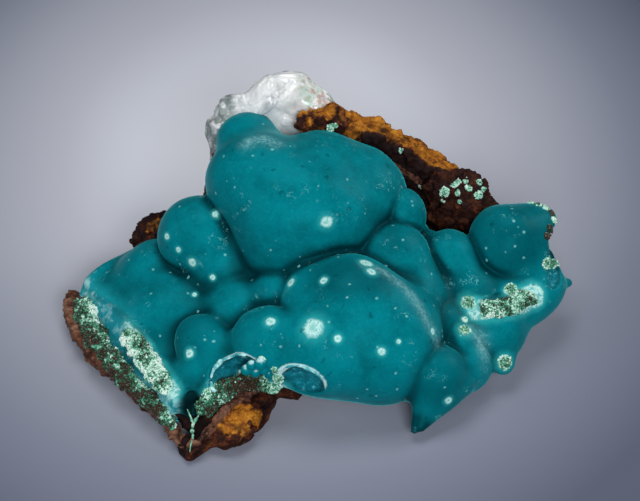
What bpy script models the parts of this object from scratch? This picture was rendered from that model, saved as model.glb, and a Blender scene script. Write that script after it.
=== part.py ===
"""Rosasite specimen: a teal botryoidal crust on limonite, with a white calcite mass and green druse.

The frame is +Z up, +X to the right and +Y to the back. The ground foot of the limonite lies at
z = 0, with the origin on it, under the front of the tall dome. Lengths in the tables are
millimetres, and turns are degrees about X, Y and Z. Blender's scene is in metres.
"""
import math
import random

import bmesh
import bpy
from mathutils import Euler, Matrix, Vector

MM = 0.001

# Driving dimensions, mm
GAP = 0.35                  # air kept between two neighbouring pieces
DRUSE_GAP = 0.5             # the same round the druse, before it is thinned
SLAB_TURN = 31.2            # how far the thin left slab is turned in plan
BREAK_LEAN = 30.0           # lean of the crust's broken left face
BREAK_CORNER = (-43.8, 12.9, 4.0)
PEBBLE_SPACING = 1.5        # from one lump of druse to the next

# Fineness of each piece: remeshing voxel in mm, smoothing passes, faces kept
CRUST_FINE = (0.75, 7, 3200)
ROCK_FINE = (0.9, 2, 1900)
CALCITE_FINE = (0.8, 2, 480)
DRUSE_FINE = (0.4, 1)
MANY_FACES = 200000

# The crust's lobes: centre, radii, turn
LOBES = {
    "bed": ((4, 5, 8.5), (27, 15, 6.5), (0, 0, 0)),
    "bed_right": ((27, 8.5, 8), (12, 11, 5.5), (0, 0, -20)),
    "crown_left": ((-10.8, 18.5, 25), (9, 9, 9), (0, 0, 0)),
    "crown_front": ((-4.4, 11.9, 21.6), (9.6, 9.6, 9.6), (0, 0, 0)),
    "crown_fold": ((1.6, 13.2, 21.4), (9.4, 9.2, 9.2), (0, 0, 0)),
    "crown_middle": ((-5.0, 15.0, 24.0), (10.2, 9.4, 9.4), (0, 0, 0)),
    "crown_back": ((-0.3, 18.9, 23.9), (9.6, 9.6, 9.6), (0, 0, 0)),
    "crown_right": ((5.6, 18.2, 21.7), (9.4, 9.4, 9.4), (0, 0, 0)),
    "cap": ((-12.9, 25.7, 28.5), (5.2, 5.2, 5.2), (0, 0, 0)),
    "button": ((13.9, 14.6, 20.4), (4.2, 4.4, 5.2), (0, 0, 0)),
    "shoulder": ((11.7, 7.7, 16.0), (7.1, 7.1, 7.1), (0, 0, 0)),
    "shoulder_foot": ((15.5, 3.3, 11.1), (6.8, 7.2, 7.2), (0, 0, 0)),
    "saddle": ((22.3, 10.9, 13.6), (5.4, 5.4, 5.4), (0, 0, 0)),
    "saddle_foot": ((24.8, 7.5, 9.9), (5.9, 5.9, 5.9), (0, 0, 0)),
    "east": ((33.0, 14.4, 14.4), (7.2, 7.2, 7.2), (0, 0, 0)),
    "east_rim": ((36.4, 13.4, 11.2), (5.3, 5.8, 6.2), (0, 0, 0)),
    "corner": ((35.6, 7.4, 8.2), (8.0, 5.4, 4.8), (0, -8, 25)),
    "corner_front": ((29.4, -0.4, 7.0), (6.2, 5.8, 5.8), (0, 0, 0)),
    "bulge": ((5.1, -2.9, 14.7), (9.5, 9.5, 9.5), (0, 0, 0)),
    "bulge_left": ((-0.3, -1.6, 14.6), (7.1, 7.1, 7.1), (0, 0, 0)),
    "bulge_right": ((12.3, -5.7, 11.6), (8.1, 8.1, 8.1), (0, 0, 0)),
    "bulge_middle": ((8.6, -5.0, 13.0), (9.2, 8.6, 8.8), (0, 0, 0)),
    "bulge_front": ((4.6, -7.2, 10.7), (9.4, 9.4, 9.4), (0, 0, 0)),
    "bulge_low": ((10.9, -9.5, 8.9), (7.2, 7.2, 7.2), (0, 0, 0)),
    "bud": ((-6.6, 2.0, 14.0), (5.3, 5.3, 5.3), (0, 0, 0)),
    "broken_left": ((-8.7, -7.5, 11.1), (6.6, 6.6, 6.6), (0, 0, 0)),
    "broken_right": ((-0.8, -9.6, 11.7), (7.4, 7.4, 7.4), (0, 0, 0)),
    "finger": ((-20.4, -4.0, 8.6), (4.6, 4.6, 4.6), (0, 0, 0)),
    "finger_foot": ((-20.6, -8.3, 5.8), (4.3, 4.6, 4.5), (0, 0, 0)),
    "lip": ((-15.0, -11.8, 7.2), (4.4, 4.2, 4.2), (0, 0, 0)),
    "slab_swell": ((-34.0, 5.6, 5.4), (9.0, 7.0, 3.0), (0, 0, 30)),
    "slab_back": ((-28.5, 14.5, 6.6), (8.0, 6.0, 4.6), (0, 0, 30)),
    "slab_front": ((-19.6, -12.4, 5.4), (6.4, 5.0, 3.0), (0, 0, 30)),
    "knoll": ((-23.6, 3.0, 7.2), (6.1, 6.1, 6.1), (0, 0, 0)),
    "inner": ((-12.1, 1.5, 11.8), (5.8, 5.8, 5.8), (0, 0, 0)),
    "west": ((-21.0, 14.4, 16.0), (7.2, 7.2, 7.2), (0, 0, 0)),
    "west_foot": ((-17.1, 10.4, 13.6), (6.4, 6.4, 6.4), (0, 0, 0)),
    "thumb": ((18.9, -10.6, 7.0), (6.0, 5.6, 5.9), (0, 0, 0)),
    "thumb_side": ((24.6, -6.6, 5.2), (5.0, 4.6, 4.6), (0, 0, 0)),
    "knuckle": ((24.1, -3.8, 7.2), (4.7, 4.7, 4.7), (0, 0, 0)),
    "knuckle_back": ((21.4, -1.3, 9.0), (4.4, 4.4, 4.4), (0, 0, 0)),
    "claw": ((17.4, -15.6, 4.0), (2.8, 5.9, 2.6), (36, 0, -22)),
}
CRUST_SLAB = ((-25.4, 3.2, 5.0), (14.4, 20.2, 2.6), (0, -3, SLAB_TURN))

# Hollows broken or dissolved out of the crust and the rock: centre, radii, turn
CRUST_HOLLOWS = {
    "broken_left": ((-13.4, -14.2, 10.4), (4.8, 3.8, 3.5), (0, 0, 10)),
    "broken_right": ((-3.0, -18.4, 12.0), (4.6, 3.2, 3.3), (0, 0, -10)),
    "pocket": ((31.3, 0.2, 13.2), (4.4, 3.1, 2.6), (0, 12, 30)),
    "groove": ((-28.4, -8.2, 8.0), (2.4, 9.4, 2.3), (0, 0, 30)),
}
ROCK_HOLLOWS = {
    "notch": ((-20.8, -18.4, 6.2), (2.3, 4.4, 3.6), (0, 0, -25)),
}

# Limonite: the slab, the ground under the lobes and the wall behind them: centre, half sizes, turn
ROCK_BLOCKS = {
    "slab": ((-23.4, 0.6, 2.1), (13.6, 21.8, 1.9), (0, -1, SLAB_TURN)),
    "bulge": ((-34.8, -1.8, 2.1), (5.2, 7.4, 1.9), (0, 0, 16)),
    "tip": ((-19.6, -14.6, 2.3), (6.5, 7.5, 2.2), (0, 0, 42)),
    "heel": ((-11.5, -10.8, 2.2), (6.0, 4.6, 4.4), (42, 0, 36)),
    "ground": ((0, 13, 5.5), (21, 19, 5.5), (0, 0, -4)),
    "ground_right": ((24, 16, 5), (9, 9, 5), (0, 0, -15)),
    "wall_high": ((3.4, 29.0, 15.2), (5.2, 3.4, 14.9), (0, 10, -6)),
    "wall_upper": ((9.4, 28.4, 13.8), (5.0, 3.4, 13.4), (0, 16, -10)),
    "wall_lower": ((15.6, 27.4, 12.0), (5.0, 3.4, 11.6), (0, 24, -14)),
    "wall_low": ((21.8, 25.6, 9.6), (5.4, 3.8, 9.2), (0, 28, -20)),
    "back": ((-8.4, 26.5, 12), (10.5, 6, 13), (0, 0, 6)),
    "back_left": ((-28.4, 21.4, 8.6), (4.6, 2.8, 4.4), (0, -20, SLAB_TURN)),
    "ledge": ((3, 30.8, 7), (16, 3.4, 6), (8, 4, -8)),
    "nub": ((-6.5, -11.5, 2.6), (2.4, 2.8, 2.2), (0, 0, 20)),
}
ROCK_KNOBS = {
    "knob": ((25.8, 23.2, 14.0), (6.6, 4.6, 5.6), (0, 35, -20)),
    "knob_top": ((21.6, 24.6, 18.2), (3.6, 3.2, 2.8), (0, 20, 0)),
    "crag": ((-18.5, 24.0, 15.5), (4.4, 4.6, 7.0), (0, 8, 0)),
}

# Calcite: lumps grown together behind the dome: centre, radii, turn
CALCITE_LUMPS = {
    "summit": ((-7.0, 31.5, 31.0), (7.6, 5.0, 7.4), (0, 15, 8)),
    "left": ((-14.0, 30.0, 28.0), (7.0, 5.0, 6.6), (0, -14, 14)),
    "right": ((-1.4, 31.0, 29.6), (5.6, 4.8, 5.4), (0, 30, -6)),
    "skirt": ((-12.4, 27.5, 24.0), (7.6, 5.0, 7.0), (10, 0, 0)),
}

# Druse: the line each granular crust follows, and the radius of its lumps
DRUSE_LEFT = ([(-43.4, 10.8, 4.9), (-38.6, 2.8, 4.9), (-33.4, -6.2, 4.8), (-28.0, -15.2, 4.6), (-24.2, -21.0, 4.0)], 2.1)
DRUSE_FRONT = ([(-17.6, -18.4, 5.0), (-13.6, -16.2, 5.9), (-9.0, -14.6, 6.2)], 1.9)
DRUSE_GROOVE = ([(-32.0, -1.8, 7.2), (-28.4, -8.2, 7.0), (-25.0, -14.2, 7.2)], 1.6)
DRUSE_POCKET = ([(28.9, -1.2, 13.2), (31.3, 0.2, 12.9), (33.7, 1.6, 12.5)], 1.7)


def clear_scene():
    for obj in list(bpy.data.objects):
        bpy.data.objects.remove(obj, do_unlink=True)


def finish(name, colour, roughness):
    """A plain shader for one kind of mineral."""
    material = bpy.data.materials.new(name)
    material.use_nodes = True
    shader = material.node_tree.nodes["Principled BSDF"]
    shader.inputs["Base Color"].default_value = (*colour, 1.0)
    shader.inputs["Roughness"].default_value = roughness
    shader.inputs["Metallic"].default_value = 0.0
    return material


def placed(centre, size, turn):
    """The matrix that takes a unit shape to its place, size and turn."""
    angles = Euler([math.radians(angle) for angle in turn])
    stretch = Matrix.Diagonal((*(Vector(size) * MM), 1.0))
    return Matrix.Translation(Vector(centre) * MM) @ angles.to_matrix().to_4x4() @ stretch


def add_ball(form, centre, radii, turn=(0, 0, 0), fineness=4):
    bmesh.ops.create_icosphere(form, subdivisions=fineness, radius=1.0, matrix=placed(centre, radii, turn))


def add_block(form, centre, half, turn=(0, 0, 0)):
    bmesh.ops.create_cube(form, size=2.0, matrix=placed(centre, half, turn))


def to_object(name, form):
    mesh = bpy.data.meshes.new(name)
    form.to_mesh(mesh)
    form.free()
    obj = bpy.data.objects.new(name, mesh)
    bpy.context.collection.objects.link(obj)
    return obj


def settle(obj):
    """Keep the shape that the object's modifiers give, and drop the modifiers."""
    shaped = obj.evaluated_get(bpy.context.evaluated_depsgraph_get())
    mesh = bpy.data.meshes.new_from_object(shaped)
    obj.modifiers.clear()
    obj.data = mesh


def fuse(obj, fineness, roughening=0.0, grain=4.0):
    """Join overlapping shapes into one skin, roughen and smooth it, and thin its faces."""
    voxel, smoothing, faces = fineness
    remesh = obj.modifiers.new("fuse", "REMESH")
    remesh.mode = "VOXEL"
    remesh.voxel_size = voxel * MM
    if roughening:
        texture = bpy.data.textures.new(obj.name, "CLOUDS")
        texture.noise_scale = grain * MM
        texture.noise_depth = 2
        displace = obj.modifiers.new("rough", "DISPLACE")
        displace.texture = texture
        displace.texture_coords = "LOCAL"
        displace.mid_level = 0.5
        displace.strength = roughening * MM
    smooth = obj.modifiers.new("smooth", "SMOOTH")
    smooth.factor = 0.5
    smooth.iterations = smoothing
    settle(obj)
    thin = obj.modifiers.new("thin", "DECIMATE")
    obj.data.calc_loop_triangles()
    thin.ratio = min(1.0, faces / len(obj.data.loop_triangles))
    settle(obj)


def grown(obj, distance):
    """A copy of a piece, larger by a distance all round, to cut its neighbour with."""
    copy = bpy.data.objects.new(obj.name + "_grown", obj.data.copy())
    bpy.context.collection.objects.link(copy)
    swell = copy.modifiers.new("grow", "DISPLACE")
    swell.mid_level = 0.0
    swell.strength = distance * MM
    settle(copy)
    return copy


def subtract(obj, cutter):
    """Cut one shape out of a piece, and keep the largest body that is left."""
    cut = obj.modifiers.new("cut", "BOOLEAN")
    cut.operation = "DIFFERENCE"
    cut.object = cutter
    cut.use_self = True
    settle(obj)
    bpy.data.objects.remove(cutter, do_unlink=True)
    keep_largest(obj)


def keep_largest(obj):
    """Drop the crumbs that a cut leaves."""
    form = bmesh.new()
    form.from_mesh(obj.data)
    left = set(form.verts)
    bodies = []
    while left:
        start = left.pop()
        body = {start}
        edge_of_search = [start]
        while edge_of_search:
            vert = edge_of_search.pop()
            for link in vert.link_edges:
                other = link.other_vert(vert)
                if other in left:
                    left.remove(other)
                    body.add(other)
                    edge_of_search.append(other)
        bodies.append(body)
    bodies.sort(key=len)
    for body in bodies[:-1]:
        bmesh.ops.delete(form, geom=list(body), context="VERTS")
    form.to_mesh(obj.data)
    form.free()


def cut_below(obj, height):
    """Cut a piece off flat at a height."""
    form = bmesh.new()
    add_block(form, (0, 0, height - 40), (120, 120, 40))
    subtract(obj, to_object("below", form))


def scoop_out(obj, hollows):
    """Cut round hollows into a piece."""
    for centre, radii, turn in hollows.values():
        form = bmesh.new()
        add_ball(form, centre, radii, turn, fineness=3)
        subtract(obj, to_object("hollow", form))


def make_rock():
    """Limonite: blocks and knobs fused into one rough body with a flat foot."""
    form = bmesh.new()
    for centre, half, turn in ROCK_BLOCKS.values():
        add_block(form, centre, half, turn)
    for centre, radii, turn in ROCK_KNOBS.values():
        add_ball(form, centre, radii, turn)
    rock = to_object("limonite_matrix", form)
    fuse(rock, ROCK_FINE, roughening=2.2, grain=3.5)
    scoop_out(rock, ROCK_HOLLOWS)
    cut_below(rock, 0.0)
    return rock


def make_crust():
    """Rosasite: round lobes and a thin slab in one skin, broken off along the left and scooped."""
    form = bmesh.new()
    add_block(form, *CRUST_SLAB)
    for centre, radii, turn in LOBES.values():
        add_ball(form, centre, radii, turn)
    crust = to_object("rosasite_crust", form)
    fuse(crust, CRUST_FINE)
    beyond = bmesh.new()
    lean = Matrix.Rotation(math.radians(SLAB_TURN), 4, "Z") @ Matrix.Rotation(math.radians(BREAK_LEAN), 4, "Y")
    away = lean @ Vector((-60, 0, 0))
    turn = [math.degrees(angle) for angle in lean.to_euler()]
    add_block(beyond, Vector(BREAK_CORNER) + away, (60, 80, 60), turn)
    subtract(crust, to_object("beyond", beyond))
    scoop_out(crust, CRUST_HOLLOWS)
    return crust


def make_calcite():
    """Calcite: a few lumps grown together."""
    form = bmesh.new()
    for centre, radii, turn in CALCITE_LUMPS.values():
        add_ball(form, centre, radii, turn)
    calcite = to_object("calcite_mass", form)
    fuse(calcite, CALCITE_FINE, roughening=2.4, grain=4.0)
    return calcite


def make_druse(name, line, radius, seed, faces, neighbours):
    """Druse: lumps of varying size set close along a line, one granular crust clear of its neighbours."""
    draw = random.Random(seed)
    form = bmesh.new()
    for start, end in zip(line, line[1:]):
        start, end = Vector(start), Vector(end)
        steps = max(1, round((end - start).length / PEBBLE_SPACING))
        for step in range(steps + 1):
            place = start.lerp(end, step / steps)
            drift = Vector(draw.uniform(-0.3, 0.3) * radius for _ in range(3))
            size = radius * draw.uniform(0.75, 1.1)
            add_ball(form, place + drift, (size, size, size * 0.8), fineness=2)
    druse = to_object(name, form)
    fuse(druse, (*DRUSE_FINE, MANY_FACES))
    for neighbour in neighbours:
        subtract(druse, grown(neighbour, DRUSE_GAP))
    fuse(druse, (*DRUSE_FINE, faces))
    keep_largest(druse)
    return druse


def dress(obj, material, smooth):
    """Give a piece its finish, and shade it round or faceted."""
    obj.data.materials.clear()
    obj.data.materials.append(material)
    for face in obj.data.polygons:
        face.use_smooth = smooth


def main():
    clear_scene()
    rock = make_rock()
    crust = make_crust()
    calcite = make_calcite()
    subtract(calcite, grown(rock, GAP))
    subtract(calcite, grown(crust, GAP))
    druses = [
        make_druse("druse_left", *DRUSE_LEFT, seed=3, faces=620, neighbours=(rock, crust)),
        make_druse("druse_front", *DRUSE_FRONT, seed=4, faces=420, neighbours=(rock, crust)),
        make_druse("druse_groove", *DRUSE_GROOVE, seed=5, faces=340, neighbours=(crust,)),
        make_druse("druse_pocket", *DRUSE_POCKET, seed=8, faces=260, neighbours=(crust,)),
    ]
    subtract(crust, grown(rock, GAP))
    dress(rock, finish("limonite", (0.19, 0.07, 0.02), 0.85), smooth=False)
    dress(crust, finish("rosasite", (0.0, 0.20, 0.24), 0.42), smooth=True)
    dress(calcite, finish("calcite", (0.78, 0.78, 0.74), 0.4), smooth=False)
    green = finish("druse", (0.16, 0.42, 0.30), 0.5)
    for druse in druses:
        dress(druse, green, smooth=False)


main()
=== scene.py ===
import bpy
import numpy as np
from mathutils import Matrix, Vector


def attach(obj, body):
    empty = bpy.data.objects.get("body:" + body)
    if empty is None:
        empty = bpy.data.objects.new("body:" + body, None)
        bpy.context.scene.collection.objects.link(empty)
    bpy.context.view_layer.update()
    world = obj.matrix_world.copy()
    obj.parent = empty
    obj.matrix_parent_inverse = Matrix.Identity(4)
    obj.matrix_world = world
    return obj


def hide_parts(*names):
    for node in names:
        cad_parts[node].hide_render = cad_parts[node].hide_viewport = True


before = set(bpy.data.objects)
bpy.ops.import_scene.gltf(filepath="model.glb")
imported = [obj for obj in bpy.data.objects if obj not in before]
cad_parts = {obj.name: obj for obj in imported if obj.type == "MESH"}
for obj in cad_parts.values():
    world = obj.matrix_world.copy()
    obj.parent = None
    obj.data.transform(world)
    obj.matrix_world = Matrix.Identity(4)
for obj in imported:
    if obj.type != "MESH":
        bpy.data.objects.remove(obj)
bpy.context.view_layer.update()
mm = 0.001
print("frame loaded:", ", ".join(sorted(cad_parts)))


# Camera and light, as in the photograph

view = dict(elevation=42.0, target=(0.0, 6.0, 20.2), distance=330.0, lens=109.0, sensor=36.0)
lightRig = [  # name, place, aimed at, width, depth, power in watts, colour
    ("overhead", (-40, 90, 440), (0, 0, 10), 260, 200, 0.8, (1.0, 0.99, 0.97)),
    ("leftBox", (-380, -120, 260), (0, 0, 12), 200, 240, 0.42, (0.97, 0.99, 1.0)),
    ("rightBox", (330, 160, 240), (0, 0, 12), 160, 200, 0.4, (1.0, 0.98, 0.96)),
    ("frontFill", (70, -360, 270), (0, 0, 14), 220, 160, 1.5, (1.0, 1.0, 1.0)),
]


# eye = target + distance * (0, -cos(elevation), sin(elevation))
lean = np.radians(view["elevation"])
eye = np.array(view["target"]) + view["distance"] * np.array([0.0, -np.cos(lean), np.sin(lean)])


def placed(name, data, spot=None, target=None):
    # a new object, at the origin or at a spot in mm with its local -Z towards the target
    made = bpy.data.objects.new(name, data)
    if spot is not None:
        made.location = np.array(spot, float) * mm
        made.rotation_euler = (Vector(target) - Vector(spot)).to_track_quat("-Z", "Y").to_euler()
    bpy.context.scene.collection.objects.link(made)
    return made


def setCamera():
    data = bpy.data.cameras.new("photoCamera")
    data.lens, data.sensor_width = view["lens"], view["sensor"]
    data.clip_start, data.clip_end = 0.01, 20.0
    bpy.context.scene.camera = placed("photoCamera", data, eye, view["target"])


def setLights():
    for name, place, target, width, depth, power, colour in lightRig:
        data = bpy.data.lights.new(name, "AREA")
        data.shape, data.size, data.size_y = "RECTANGLE", width * mm, depth * mm
        data.energy, data.color = power, colour
        placed(name, data, place, target)
    world = bpy.data.worlds.new("studio")
    world.use_nodes = True
    sky = world.node_tree.nodes["Background"]
    sky.inputs["Color"].default_value = (0.62, 0.64, 0.72, 1)
    sky.inputs["Strength"].default_value = 0.12
    bpy.context.scene.world = world
    bpy.context.scene.view_settings.view_transform = "Standard"


setCamera()
setLights()
print("camera and light set")


# Shader maths: a Wire is one socket, and arithmetic on it adds Math nodes

class Wire:
    def __init__(self, finish, socket):
        self.finish, self.socket = finish, socket

    def math(self, operation, *inputs):
        return self.finish.node("ShaderNodeMath", dict(operation=operation), dict(enumerate(inputs)))

    def __add__(self, other):
        return self.math("ADD", self, other)

    def __sub__(self, other):
        return self.math("SUBTRACT", self, other)

    def __rsub__(self, other):
        return self.math("SUBTRACT", other, self)

    def __mul__(self, other):
        return self.math("MULTIPLY", self, other)

    def __truediv__(self, other):
        return self.math("DIVIDE", self, other)

    __radd__ = __add__
    __rmul__ = __mul__

    def size(self):
        return self.math("ABSOLUTE", self)

    def least(self, other):
        return self.math("MINIMUM", self, other)

    def step(self, low, high):  # 0 below low, 1 above high, smooth between; low may be the larger
        a, b, start, end = (low, high, 0.0, 1.0) if low < high else (high, low, 1.0, 0.0)
        return self.finish.node("ShaderNodeMapRange", dict(interpolation_type="SMOOTHSTEP"),
                                {0: self, 1: a, 2: b, 3: start, 4: end})


class Finish:  # one material and the nodes that feed its Principled shader
    def __init__(self, name, **constants):
        self.material = bpy.data.materials.new(name)
        self.material.use_nodes = True
        self.tree = self.material.node_tree
        self.shader = self.tree.nodes["Principled BSDF"]
        for socket, value in constants.items():
            self.shader.inputs[socket.replace("_", " ")].default_value = value
        place = self.node("ShaderNodeTexCoord", {}, {}, 3)  # Object
        self.place = self.node("ShaderNodeVectorMath", dict(operation="SCALE"), {0: place, 3: 1 / mm})

    def node(self, kind, settings, sockets, output=0):
        made = self.tree.nodes.new(kind)
        for name, value in settings.items():
            if name == "stops":
                self.setStops(made.color_ramp, value)
            else:
                setattr(made, name, value)
        for key, value in sockets.items():
            if isinstance(value, Wire):
                self.tree.links.new(value.socket, made.inputs[key])
            else:
                made.inputs[key].default_value = value
        return Wire(self, made.outputs[output])

    def setStops(self, ramp, stops):
        while len(ramp.elements) < len(stops):
            ramp.elements.new(0.5)
        for element, (position, colour) in zip(ramp.elements, stops):
            element.position = position
            element.color = (*colour, 1.0)

    def vector(self, operation, first, second, output=0):
        return self.node("ShaderNodeVectorMath", dict(operation=operation), {0: first, 1: second}, output)

    def noise(self, size, detail=3.0, rough=0.5, warp=0.0):  # about 0 to 1, with features of that size in mm
        return self.node("ShaderNodeTexNoise", dict(noise_type="FBM", normalize=True),
                         dict(Vector=self.place, Scale=1.0 / size, Detail=detail, Roughness=rough,
                              Distortion=warp))

    def cells(self, size, output=0):  # distance to the nearest cell's middle, or with 1 the cell's colour
        return self.node("ShaderNodeTexVoronoi", {}, dict(Vector=self.place, Scale=1.0 / size), output)

    def away(self, spot):  # distance in mm from a spot
        return self.vector("DISTANCE", self.place, spot, 1)

    def attribute(self, name):
        return self.node("ShaderNodeAttribute", dict(attribute_name=name), {}, 2)

    def planeGap(self, plane):  # signed distance in mm past a plane given by its way out and offset
        way, offset = plane
        return self.vector("DOT_PRODUCT", self.place, way, 1) - offset

    def axis(self, index):
        return self.node("ShaderNodeSeparateXYZ", {}, {0: self.place}, index)

    def mix(self, factor, first, second):  # colours
        ends = [c if isinstance(c, Wire) else (*c, 1.0) for c in (first, second)]
        return self.node("ShaderNodeMix", dict(data_type="RGBA"), {0: factor, 6: ends[0], 7: ends[1]}, 2)

    def ramp(self, value, stops):
        return self.node("ShaderNodeValToRGB", dict(stops=stops), {0: value})

    def bump(self, height, strength, depth):  # depth in mm
        return self.node("ShaderNodeBump", {}, dict(Strength=strength, Distance=depth * mm, Height=height))

    def paint(self, factor, shade):  # lays a colour over those before
        self.colour = self.mix(factor, self.colour, shade)

    def feed(self, **wires):
        for socket, wire in dict(wires, Base_Color=self.colour).items():
            self.tree.links.new(wire.socket, self.shader.inputs[socket.replace("_", " ")])
        return self.material


# Fields: the signed distance in mm to a shape, negative inside, for an array of points

def turned(degrees):
    # rotation matrix Rz Ry Rx
    ax, ay, az = np.radians(degrees)
    cx, sx, cy, sy, cz, sz = np.cos(ax), np.sin(ax), np.cos(ay), np.sin(ay), np.cos(az), np.sin(az)
    rx = np.array([[1, 0, 0], [0, cx, -sx], [0, sx, cx]])
    ry = np.array([[cy, 0, sy], [0, 1, 0], [-sy, 0, cy]])
    rz = np.array([[cz, -sz, 0], [sz, cz, 0], [0, 0, 1]])
    return (rz @ ry @ rx).astype(np.float32)


def ballDistance(p, centre, radii, turn=(0, 0, 0)):
    # with q the point in the ball's own axes: a = |q/r|, b = |q/r^2|, distance = a (a - 1) / b
    q = p - np.array(centre, np.float32)
    if any(turn):
        q = q @ turned(turn)
    r = np.array(radii, np.float32)
    a = np.sqrt(np.einsum("ij,ij->i", q / r, q / r))
    b = np.sqrt(np.einsum("ij,ij->i", q / r ** 2, q / r ** 2))
    return a * (a - 1) / np.maximum(b, 1e-6)


def blockDistance(p, centre, half, turn=(0, 0, 0), rounding=0.6):
    # with q = |point| - half + rounding: distance = |max(q, 0)| + min(max(q), 0) - rounding
    q = p - np.array(centre, np.float32)
    if any(turn):
        q = q @ turned(turn)
    q = np.abs(q) - (np.array(half, np.float32) - rounding)
    outer = np.maximum(q, 0)
    return np.sqrt(np.einsum("ij,ij->i", outer, outer)) + np.minimum(q.max(1), 0) - rounding


def spikeDistance(p, start, end, radii):
    # with t the place along the spike, 0 to 1: distance to its line less the radius there
    start, way = np.array(start, np.float32), np.array(end, np.float32) - np.array(start, np.float32)
    t = np.clip((p - start) @ way / (way @ way), 0, 1)
    return np.linalg.norm(p - start - t[:, None] * way, axis=1) - radii[0] - t * (radii[1] - radii[0])


def smoothMin(a, b, soft):
    # min(a, b) - h^2 / (4 soft), with h = max(soft - |a - b|, 0)
    h = np.maximum(soft - np.abs(a - b), 0)
    return np.minimum(a, b) - h * h / (4 * soft)


def smoothMax(a, b, soft):
    return -smoothMin(-a, -b, soft)


def hashed(cell, seed):
    # 0 to 1 for each whole-number cell: the three numbers are multiplied by large primes and mixed
    c = cell.astype(np.int64)
    h = (c[..., 0] * 73856093) ^ (c[..., 1] * 19349663) ^ (c[..., 2] * 83492791) ^ (seed * 265443576)
    h = ((h & 0xffffffff) ^ ((h & 0xffffffff) >> 13)) * 1274126177 & 0xffffffff
    return (((h ^ (h >> 16)) & 0xffff) / 65535).astype(np.float32)


def waves(p, size, seed):
    # value noise, -1 to 1: random values on a lattice of that size, blended with 3t^2 - 2t^3
    q = p / size
    cell = np.floor(q)
    t = q - cell
    t = t * t * (3 - 2 * t)
    total = np.zeros(len(p), np.float32)
    for corner in np.ndindex(2, 2, 2):
        part = np.abs(1 - np.array(corner) - t)
        total += part[:, 0] * part[:, 1] * part[:, 2] * hashed(cell + corner, seed)
    return total * 2 - 1


def layered(p, size, layers, seed, fall=0.5):
    # sum of waves, each layer half the size and fall times the height of the last
    return sum(fall ** n * waves(p + 17.3 * n, size / 2 ** n, seed + n) for n in range(layers))


def ridged(p, size, layers, seed, fall=0.55):
    # sum of 1 - 2 |wave|: sharp crests between round hollows
    return sum(fall ** n * (1 - 2 * np.abs(waves(p + 9.1 * n, size / 2 ** n, seed + n)))
               for n in range(layers))


def chipped(p, size, tilt, seed):
    # the nearest of the jittered cell centres gives each point its chip: a random height and slope
    q = p / size
    cell = np.floor(q)
    best = np.full(len(p), 9.0, np.float32)
    height = np.zeros(len(p), np.float32)
    for corner in np.ndindex(3, 3, 3):
        near = cell + corner - 1
        jitter = np.stack([hashed(near, seed + n) for n in range(3)], 1)
        slope = np.stack([hashed(near, seed + n) for n in range(3, 6)], 1) - 0.5
        gap = q - near - jitter
        d = np.einsum("ij,ij->i", gap, gap)
        h = hashed(near, seed + 6) - 0.5 + tilt * np.einsum("ij,ij->i", gap, slope) * 2
        height = np.where(d < best, h, height)
        best = np.minimum(best, d)
    return height


def slopeOf(field, p):
    # value and forward-difference gradient of a field
    value = field(p)
    reach = 0.02
    steps = np.eye(3, dtype=np.float32) * reach
    return value, np.stack([field(p + s) - value for s in steps], 1) / reach


def settled(field, p, rounds=1):
    # Newton steps onto the surface: p - f g / |g|^2, with no step over 1 mm
    for _ in range(rounds):
        value, slope = slopeOf(field, p)
        size = np.maximum(np.einsum("ij,ij->i", slope, slope), 0.15)
        p = p - np.clip(value / size, -1, 1)[:, None] * slope
    return p


# Skins: a closed grid, u around and v from pole to pole, laid on a field

def laidGrid(field, shell, rows, columns):
    # direction (cos v, sin v cos u, sin v sin u); each line runs from the outer ellipsoid to the core
    v = (np.arange(rows) + 1) * np.pi / (rows + 1)
    u = np.arange(columns) * 2 * np.pi / columns
    v, u = np.meshgrid(v, u, indexing="ij")
    way = np.stack([np.cos(v), np.sin(v) * np.cos(u), np.sin(v) * np.sin(u)], -1).reshape(-1, 3)
    way = np.concatenate([way, [[1, 0, 0], [-1, 0, 0]]])
    spin = turned(shell.get("turn", (0, 0, 0))).T
    start = (way * shell["outer"]) @ spin + shell["centre"]
    end = (way * shell["core"]) @ spin + shell["centre"]
    start, end = start.astype(np.float32), end.astype(np.float32)
    length = np.linalg.norm(end - start, axis=1)
    step = (end - start) / length[:, None]
    gone = np.zeros(len(start), np.float32)
    for _ in range(40):
        gone = np.minimum(gone + field(start + step * gone[:, None]) * 0.9, length)
    return start + step * gone[:, None]


def padded(grid):
    # the rows of points, with each pole as a row of its own
    body = grid["points"][:-2].reshape(grid["rows"], grid["columns"], 3)
    first, last = (np.broadcast_to(pole, (1, grid["columns"], 3)) for pole in grid["points"][-2:])
    return np.concatenate([first, body, last])


def evened(field, grid, rounds):
    # each point moves to the mean of its neighbours, far ones counting more, and back onto the field
    for _ in range(rounds):
        full = padded(grid)
        body = full[1:-1]
        around = [np.roll(body, 1, 1), np.roll(body, -1, 1), full[:-2], full[2:]]
        weights = [np.linalg.norm(n - body, axis=2, keepdims=True) + 1e-3 for n in around]
        mean = sum(n * w for n, w in zip(around, weights)) / sum(weights)
        moved = body + 0.7 * (mean - body)
        ends = np.stack([body[0].mean(0), body[-1].mean(0)])
        grid["points"] = settled(field, np.concatenate([moved.reshape(-1, 3), ends]).astype(np.float32))


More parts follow.
